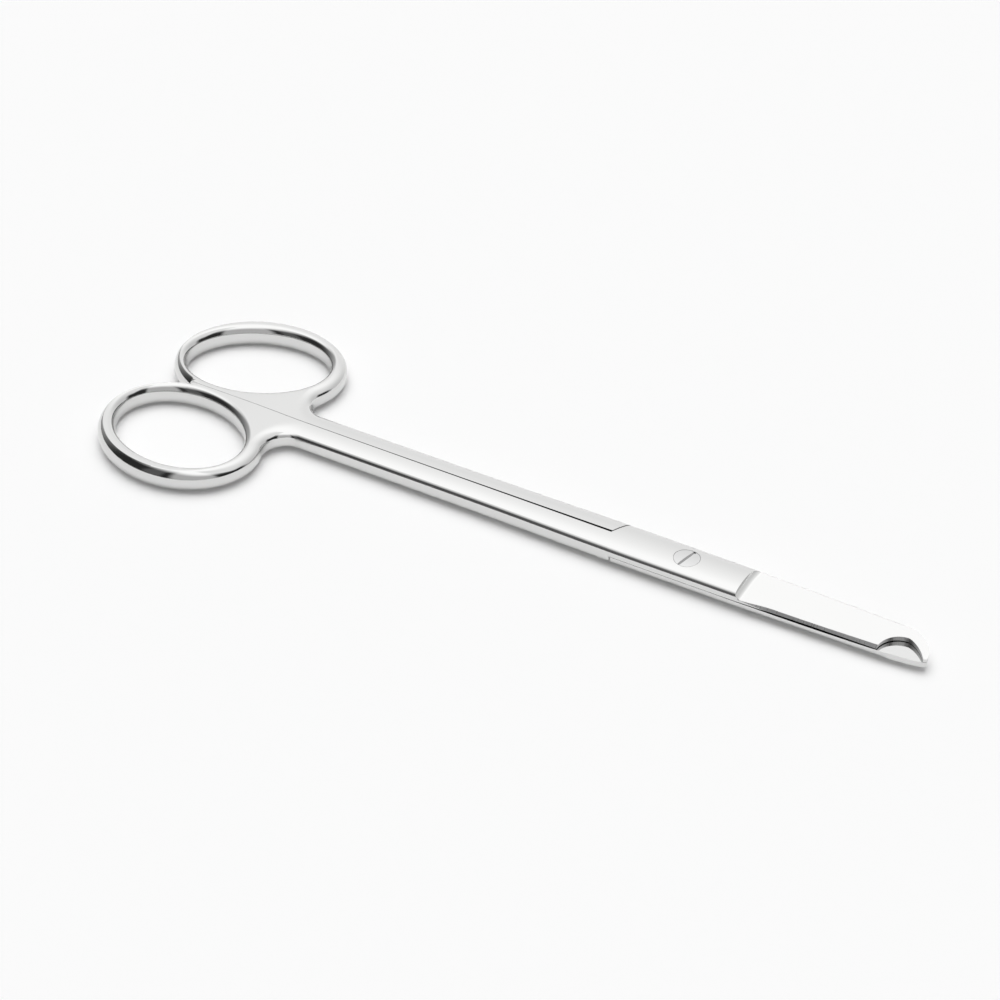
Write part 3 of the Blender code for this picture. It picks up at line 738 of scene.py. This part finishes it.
def turned(name, profile, material):
    """A solid of revolution about Z. The profile starts and ends on the axis."""
    points, rings, faces = [], [], []
    for radius, z in profile:
        first = len(points)
        sides = SCREW_SIDES if radius else 1
        for i in range(sides):
            x, y = radius * turn_to(2.0 * math.pi * i / sides)
            points.append((x, y, z))
        rings.append([first + i % sides for i in range(SCREW_SIDES + 1)])
    for ring, other in zip(rings, rings[1:]):
        for a, b, c, d in zip(ring, ring[1:], other[1:], other):
            faces.append(list(dict.fromkeys((a, b, c, d))))
    return shown(name, mesh_of(name, points, faces, material))


def bore(name, radius, low_z, high_z, material):
    return turned(name, [(0.0, low_z), (radius, low_z), (radius, high_z), (0.0, high_z)], material)


def crown(depth, power):
    rest = 1.0 - np.clip(depth, 0.0, 1.0)
    return (1.0 - rest * rest) ** (1.0 / power)


def screw_blank(material):
    shoulder = MID - LAP_CLEARANCE / 2 + SCREW_CLEARANCE
    profile = [(0.0, 0.0), (THREAD_RADIUS - SCREW_CHAMFER, 0.0), (THREAD_RADIUS, SCREW_CHAMFER)]
    profile += [(THREAD_RADIUS, shoulder), (PIVOT_RADIUS, shoulder), (PIVOT_RADIUS, SEAT + SCREW_CLEARANCE)]
    profile += [(HEAD_RADIUS, SEAT + SCREW_CLEARANCE)]
    shares = np.linspace(1.0, 0.0, SCREW_FACE_RINGS)
    profile += [(HEAD_RADIUS * share, STOCK_THICKNESS) for share in shares]
    made = turned("screw", profile, material)
    for vertex in made.data.vertices:
        if vertex.co.z > (STOCK_THICKNESS - HEAD_SUNK / 2) * MM:
            depth = 1.0 - abs(vertex.co.y) / (half_width(vertex.co.x / MM) * MM)
            vertex.co.z = (MID + MID * crown(depth, SHANK_CROWN_POWER) - HEAD_SUNK) * MM
    return made


def slot_cut(material):
    along = (HEAD_RADIUS + CUTTER_REACH) * turn_to(SLOT_ANGLE)
    side_way = SLOT_WIDTH / 2 * turn_to(SLOT_ANGLE + 0.5 * math.pi)
    corners = [along + side_way, side_way - along, -along - side_way, along - side_way]
    return prism("slot_cut", corners, STOCK_THICKNESS - SLOT_DEPTH, ABOVE, material)


# %% [markdown]
# ## Steel
#
# The finish decides how this object looks. The skin is mirror-polished: metallic 1,
# very low roughness, and only a trace of polishing lines. The flat of the blade is
# ground a little brighter and softer. The cutting bevel and the hook's hollow come
# off a coarse wheel that runs across the edge, so they have fine parallel grooves.
# All patterns read Object coordinates, so they stay on the steel when it turns.


# %% Colours, roughness and noise of the finishes
POLISH_COLOUR, POLISH_PLAIN_ROUGHNESS, POLISH_ROUGHNESS = (0.68, 0.68, 0.675), 0.06, 0.045
LINES_STRETCH, LINES_DETAIL, LINES_ROUGHNESS = (120.0, 900.0, 900.0), 3.0, 0.03
CLOUD_STRETCH, CLOUD_ROUGHNESS = (160.0, 160.0, 160.0), 0.04
GROUND_COLOUR, GROUND_PLAIN_ROUGHNESS, GROUND_ROUGHNESS = (0.62, 0.62, 0.62), 0.28, 0.2
GROOVE_STRETCH, GROOVE_ROUGHNESS = (5000.0, 400.0, 400.0), 0.2
GROOVE_STRENGTH, GROOVE_DEPTH = 0.6, 0.00003
FACE_COLOUR, FACE_PLAIN_ROUGHNESS, FACE_ROUGHNESS = (0.74, 0.74, 0.735), 0.12, 0.1
STROKE_STRETCH, STROKE_ROUGHNESS = (500.0, 2500.0, 500.0), 0.06
TURNED_COLOUR, TURNED_PLAIN_ROUGHNESS, TURNED_ROUGHNESS = (0.64, 0.64, 0.64), 0.14, 0.1
TURNING_STRETCH, TURNING_ROUGHNESS = (3000.0, 3000.0, 400.0), 0.1


# %% Polished and ground steel
def steel(name, colour, roughness):
    """A metal with its constants set on the shader: (material, maker, shader)."""
    material = bpy.data.materials.new(name)
    material.use_nodes = True
    shader = material.node_tree.nodes["Principled BSDF"]
    shader.inputs["Base Color"].default_value = (*colour, 1.0)
    shader.inputs["Metallic"].default_value = 1.0
    shader.inputs["Roughness"].default_value = roughness
    return material, Maker(material.node_tree), shader


def streaks(maker, stretch, detail=2.0):
    """Noise drawn out by different amounts along X, Y and Z."""
    place = maker.out(maker.add("ShaderNodeTexCoord"), "Object")
    mapping = maker.out(maker.add("ShaderNodeMapping", values={"Vector": place, "Scale": stretch}))
    noise = {"Vector": mapping, "Scale": 1.0, "Detail": detail}
    return maker.out(maker.add("ShaderNodeTexNoise", values=noise), 0)


def feed(maker, shader, name, value):
    maker.tree.links.new(value.socket, shader.inputs[name])


def polished_steel(name):
    material, maker, shader = steel(name, POLISH_COLOUR, POLISH_PLAIN_ROUGHNESS)
    lines = LINES_ROUGHNESS * streaks(maker, LINES_STRETCH, LINES_DETAIL)
    cloud = CLOUD_ROUGHNESS * streaks(maker, CLOUD_STRETCH)
    feed(maker, shader, "Roughness", POLISH_ROUGHNESS + lines + cloud)
    return material


def ground_steel(name):
    material, maker, shader = steel(name, GROUND_COLOUR, GROUND_PLAIN_ROUGHNESS)
    grooves = streaks(maker, GROOVE_STRETCH)
    feed(maker, shader, "Roughness", GROUND_ROUGHNESS + GROOVE_ROUGHNESS * grooves)
    relief = {"Height": grooves, "Strength": GROOVE_STRENGTH, "Distance": GROOVE_DEPTH}
    feed(maker, shader, "Normal", maker.out(maker.add("ShaderNodeBump", values=relief)))
    return material


def face_steel(name):
    material, maker, shader = steel(name, FACE_COLOUR, FACE_PLAIN_ROUGHNESS)
    feed(maker, shader, "Roughness", FACE_ROUGHNESS + STROKE_ROUGHNESS * streaks(maker, STROKE_STRETCH))
    return material


def turned_steel(name):
    material, maker, shader = steel(name, TURNED_COLOUR, TURNED_PLAIN_ROUGHNESS)
    feed(maker, shader, "Roughness", TURNED_ROUGHNESS + TURNING_ROUGHNESS * streaks(maker, TURNING_STRETCH))
    return material


polish = polished_steel("polished_steel")
face_ground = face_steel("face_ground_steel")
cross_ground = ground_steel("cross_ground_steel")
screw_finish = turned_steel("turned_steel")
print("finishes:", polish.name, face_ground.name, cross_ground.name, screw_finish.name)

# %% [markdown]
# ## Forge, turn over and grind
#
# Both halves start as the same forging. The lower one is turned over, half a turn
# about X at mid thickness. The Booleans then do the grinding, and the result becomes
# a plain mesh: the die and the cutters are only tools, and none of them stays.


# %% Forge a blank
def plain(obj, name):
    """The object as it is evaluated, as a plain mesh. Its modifiers are gone."""
    graph = bpy.context.evaluated_depsgraph_get()
    mesh = bpy.data.meshes.new_from_object(obj.evaluated_get(graph))
    mesh.name = name
    return mesh


def forged_blank():
    blank = bpy.data.meshes.new("pattern")
    blank.from_pydata(in_metres([(x, y, 0.0) for x, y in pattern.points]), [], pattern.faces)
    marks = {"side": side, "inner": inner, "blend": blend, "rim_share": rim_share, "hole_share": hole_share}
    for name, values in marks.items():
        blank.attributes.new(name, "FLOAT", "POINT").data.foreach_set("value", values.astype(np.float32))
    obj = shown("pattern", blank)
    modifier = obj.modifiers.new("die", "NODES")
    modifier.node_group = die
    for socket in die.interface.items_tree:
        if socket.name in DIE_SIZES:
            modifier[socket.identifier] = DIE_SIZES[socket.name]
        elif socket.name == "Steel":
            modifier[socket.identifier] = polish
    mesh = plain(obj, "forging")
    bpy.data.objects.remove(obj)
    face_outwards(mesh)
    mesh.shade_smooth()
    for name in marks:
        mesh.attributes.remove(mesh.attributes[name])
    return mesh


def turn_over(mesh):
    """Half a turn about X at mid thickness."""
    for vertex in mesh.vertices:
        x, y, z = vertex.co
        vertex.co = (x, -y, STOCK_THICKNESS * MM - z)
    return mesh


forging = forged_blank()
print("forging:", len(forging.vertices), "vertices")

# %% Grind it with Booleans
SHARP = math.radians(25.0)


def ground(name, obj, cutters):
    for cutter in cutters:
        boolean = obj.modifiers.new(cutter.name, "BOOLEAN")
        boolean.solver = "EXACT"
        boolean.material_mode = "TRANSFER"
        boolean.object = cutter
    mesh = plain(obj, name)
    for old in [obj] + cutters:
        bpy.data.objects.remove(old)
    mesh.shade_smooth()
    mesh.set_sharp_from_angle(angle=SHARP)
    return shown(name, mesh)


seat_radius = HEAD_RADIUS + SCREW_CLEARANCE
upper_cuts = [face_grind(face_ground), edge_bevel(cross_ground), spine_line(polish)]
upper_cuts += [tip_cut(polish), notch_cut(cross_ground)]
upper_cuts.append(bore("head_seat", seat_radius, SEAT, ABOVE, polish))
upper_cuts.append(bore("pivot_hole", PIVOT_RADIUS + SCREW_CLEARANCE, 0.0, STOCK_THICKNESS, polish))
upper = ground("upper_forging", shown("upper_blank", forging.copy()), upper_cuts)

lower_cuts = [face_grind(face_ground), edge_bevel(cross_ground)]
for cutter in lower_cuts:
    turn_over(cutter.data)
lower_cuts.append(tip_cut(polish))
tapped_radius = THREAD_RADIUS + SCREW_CLEARANCE
lower_cuts.append(bore("thread_hole", tapped_radius, -CUTTER_REACH, STOCK_THICKNESS, polish))
lower = ground("lower_forging", shown("lower_blank", turn_over(forging.copy())), lower_cuts)

screw = ground("turned_screw", screw_blank(screw_finish), [slot_cut(screw_finish)])
bpy.data.meshes.remove(forging)
for piece in (upper, lower, screw):
    print(piece.name, len(piece.data.polygons), "faces,", [m.name for m in piece.data.materials])

# %% [markdown]
# ## Hand the pieces over
#
# Each fine piece takes the place of its solid, which is hidden, and rides on an empty
# for the body that the solid belongs to, so it moves with that body.

# %% Ride and replace
for piece, body, node, slot in (
    (upper, "upper", "upper_half", "upper_steel"),
    (lower, "lower", "lower_half", "lower_steel"),
    (screw, "lower", "pivot_screw", "screw_steel"),
):
    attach(piece, body)
    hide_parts(node)

# %% [markdown]
# ## Floor
#
# The scissors lie on a white sweep. It is a plain diffuse floor, so it keeps the
# shadow. A little emission, which only camera, mirror and glass rays see, brings its
# lit part to white.

# %% A white floor
FLOOR_Z = -0.0002
FLOOR_SIZE = 4.0
FLOOR_ALBEDO = 0.9
FLOOR_LIFT = 0.085
WHITE = (1.0, 1.0, 1.0, 1.0)


def seen_by_eye(maker):
    """1 for rays from the camera, or by way of a mirror or glass, 0 for others."""
    path = maker.add("ShaderNodeLightPath")
    seen = maker.out(path, "Is Camera Ray").most(maker.out(path, "Is Glossy Ray"))
    return seen.most(maker.out(path, "Is Transmission Ray"))


def white_floor():
    half = FLOOR_SIZE / 2
    mesh = bpy.data.meshes.new("floor")
    corners = [(half * x, half * y, FLOOR_Z) for x, y in ((-1, -1), (1, -1), (1, 1), (-1, 1))]
    mesh.from_pydata(corners, [], [(0, 1, 2, 3)])
    material = bpy.data.materials.new("white_floor")
    material.use_nodes = True
    maker = Maker(material.node_tree)
    shader = material.node_tree.nodes["Principled BSDF"]
    shader.inputs["Base Color"].default_value = (FLOOR_ALBEDO, FLOOR_ALBEDO, FLOOR_ALBEDO, 1.0)
    shader.inputs["Roughness"].default_value = 1.0
    shader.inputs["Specular IOR Level"].default_value = 0.0
    glow = maker.add("ShaderNodeEmission", values={"Color": WHITE})
    glow.inputs["Strength"].default_value = 0.0
    maker.tree.links.new((seen_by_eye(maker) * FLOOR_LIFT).socket, glow.inputs["Strength"])
    values = {0: Expr(maker, shader.outputs[0]), 1: Expr(maker, glow.outputs[0])}
    both = maker.out(maker.add("ShaderNodeAddShader", values=values))
    output = material.node_tree.nodes["Material Output"]
    maker.tree.links.new(both.socket, output.inputs["Surface"])
    mesh.materials.append(material)
    return shown("floor", mesh)


white_floor()

# %% [markdown]
# ## The studio that the steel sees
#
# A mirror shows its surroundings, so most of the picture is made here. In the
# photograph the sides of the shanks that face the camera are dark, with a grey patch
# where the ring turns towards it: the camera stands before a dark room, with a pale
# card round it. The room reaches high in front and to the left, fades at its left
# side, has a faint window there and is low at its right. High up and beyond the
# object all is bright, a little less so on the right. The world gives mirror rays
# that room, built from the ray's own direction. The floor gets a soft key light from
# high behind the object, so the shadow falls towards the camera.

# %% Dome and room
CAMERA_YAW = math.radians(30.51)
CAMERA_ELEVATION = math.radians(37.19)
WALL_LOW, WALL_HIGH = 1.05, 1.42
WALL_STEP = math.radians(22.0), math.radians(66.0)
WALL_LESS_ON_RIGHT = 0.28
WALL_RIGHT_EDGE = 0.35, 1.0
ROOM_TOP_BESIDE = math.radians(33.0), math.radians(48.0)
ROOM_TOP_BEFORE = math.radians(38.0), math.radians(78.0)
ROOM_TOP_LESS_ON_RIGHT = math.radians(6.0)
ROOM_BEFORE_START = math.radians(-130.0), math.radians(-95.0)
ROOM_BEFORE_END = math.radians(48.0), math.radians(72.0)
ROOM_LEFT_EDGE = math.radians(-165.0), math.radians(-146.0)
ROOM_RIGHT_EDGE = math.radians(78.0), math.radians(95.0)
ROOM_LIGHT = 0.03
SIDE_LIGHT = 0.56
SIDE_EDGE = math.radians(-165.0), math.radians(-92.0)
WINDOW_LIGHT = 0.09
WINDOW_EDGE = math.radians(-66.0), math.radians(-58.0)
WINDOW_END = math.radians(-45.0), math.radians(-38.0)
CARD_LIGHT = 0.52
CARD_EDGE = math.radians(26.0), math.radians(36.0)
KEY_HEADING, KEY_ELEVATION = math.radians(180.0), math.radians(79.0)
KEY_BASE, KEY_GAIN, KEY_POWER = 0.18, 4.46, 9.0
LEAST_LEVEL = 1e-9


def studio_world():
    world = bpy.data.worlds.new("studio")
    bpy.context.scene.world = world
    world.use_nodes = True
    world.cycles.sampling_method = "NONE"
    maker = Maker(world.node_tree)
    way = maker.out(maker.add("ShaderNodeTexCoord"), "Generated")
    parts = maker.add("ShaderNodeSeparateXYZ", values={0: way})
    x, y, z = (maker.out(parts, name) for name in "XYZ")
    level = (x * x + y * y).most(LEAST_LEVEL) ** 0.5
    to_camera = x * math.sin(CAMERA_YAW) - y * math.cos(CAMERA_YAW)
    to_right = x * math.cos(CAMERA_YAW) + y * math.sin(CAMERA_YAW)
    heading = to_right.math("ARCTAN2", to_right, to_camera)
    elevation = z.math("ARCTAN2", z, level)
    past = heading.between(*ROOM_BEFORE_END)
    before = heading.between(*ROOM_BEFORE_START) * (1.0 - past)
    less = past * ROOM_TOP_LESS_ON_RIGHT
    tops = zip(ROOM_TOP_BESIDE, ROOM_TOP_BEFORE)
    top_low, top_high = (beside + before * (front - beside) - less for beside, front in tops)
    room = heading.between(*ROOM_LEFT_EDGE) * (1.0 - heading.between(*ROOM_RIGHT_EDGE))
    room = room * (1.0 - elevation.between(top_low, top_high))
    side_wall = (1.0 - heading.between(*SIDE_EDGE)) * SIDE_LIGHT
    window = heading.between(*WINDOW_EDGE) * (1.0 - heading.between(*WINDOW_END)) * WINDOW_LIGHT
    card = (1.0 - heading.most(0.0 - heading).between(*CARD_EDGE)) * CARD_LIGHT
    wall = WALL_LOW + (WALL_HIGH - WALL_LOW) * elevation.between(*WALL_STEP)
    wall = wall * (1.0 - WALL_LESS_ON_RIGHT * (to_right / level).between(*WALL_RIGHT_EDGE))
    mirrored = wall * (1.0 - room) + room * (ROOM_LIGHT + side_wall + window + card)

    key_level = math.cos(KEY_ELEVATION)
    key = to_camera * (key_level * math.cos(KEY_HEADING)) + to_right * (key_level * math.sin(KEY_HEADING))
    key = (key + z * math.sin(KEY_ELEVATION)).most(0.0)
    soft = KEY_BASE + KEY_GAIN * key**KEY_POWER
    path = maker.add("ShaderNodeLightPath")
    eye, glossy = maker.out(path, "Is Camera Ray"), maker.out(path, "Is Glossy Ray")
    light = soft * (1.0 - eye) * (1.0 - glossy) + mirrored * glossy + eye
    background = world.node_tree.nodes["Background"]
    background.inputs["Color"].default_value = WHITE
    maker.tree.links.new(light.socket, background.inputs["Strength"])
    return world


print("studio:", len(studio_world().node_tree.nodes), "nodes")
bpy.context.scene.view_settings.view_transform = "Standard"

# %% [markdown]
# ## Camera
#
# The camera was found by fitting the outlines of the rings, the shanks and the tip:
# it looks down at 37 degrees, turned 30.5 degrees about the object, from 35 cm away.

# %% Set up the camera
CAMERA_TARGET = (-31.46, 1.97, 0.0)
CAMERA_DISTANCE = 351.2
FOCAL_LENGTH = 86.4
SENSOR_WIDTH = 36.0


def photo_camera():
    data = bpy.data.cameras.new("camera")
    data.sensor_width = SENSOR_WIDTH
    data.lens = FOCAL_LENGTH
    camera = shown("camera", data)
    level = math.cos(CAMERA_ELEVATION)
    back = (math.sin(CAMERA_YAW) * level, -math.cos(CAMERA_YAW) * level, math.sin(CAMERA_ELEVATION))
    camera.location = [(t + CAMERA_DISTANCE * b) * MM for t, b in zip(CAMERA_TARGET, back)]
    camera.rotation_euler = (math.pi / 2 - CAMERA_ELEVATION, 0.0, CAMERA_YAW)
    bpy.context.scene.camera = camera
    return camera


print("camera at", [round(v, 4) for v in photo_camera().location])
